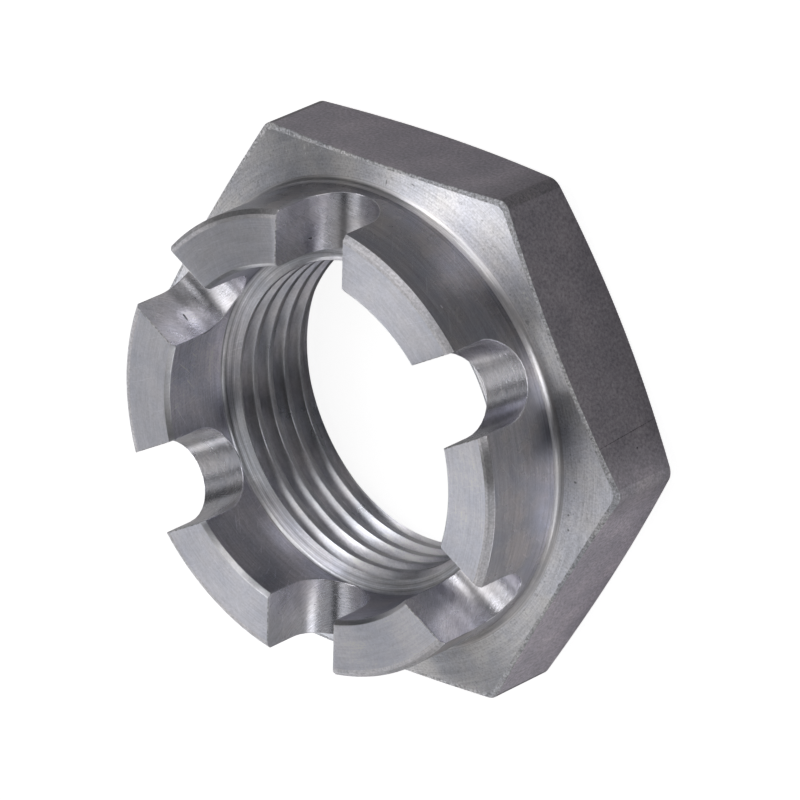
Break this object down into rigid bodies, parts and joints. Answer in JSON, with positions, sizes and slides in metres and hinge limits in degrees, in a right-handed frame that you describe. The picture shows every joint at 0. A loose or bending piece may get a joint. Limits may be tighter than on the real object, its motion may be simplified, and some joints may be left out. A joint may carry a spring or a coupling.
{
  "type": "castle nut",
  "caption": "Thin hexagon castle nut in plain machined steel: a slotted crown for a split pin stands on a chamfered hexagon with a fine thread through it.",
  "frame": {"origin": "centre of the bearing face, on the thread axis", "axes": "+Z along the thread axis from the bearing face towards the crown, +X through a corner of the hexagon"},
  "size_m": [0.0528, 0.046, 0.0179],
  "materials": {
    "nut_steel": "plain machined steel, turned cones and bore, milled slots and fine-milled flats"
  },
  "bodies": {
    "root": {"castle_nut": "nut_steel"}
  },
  "joints": []
}
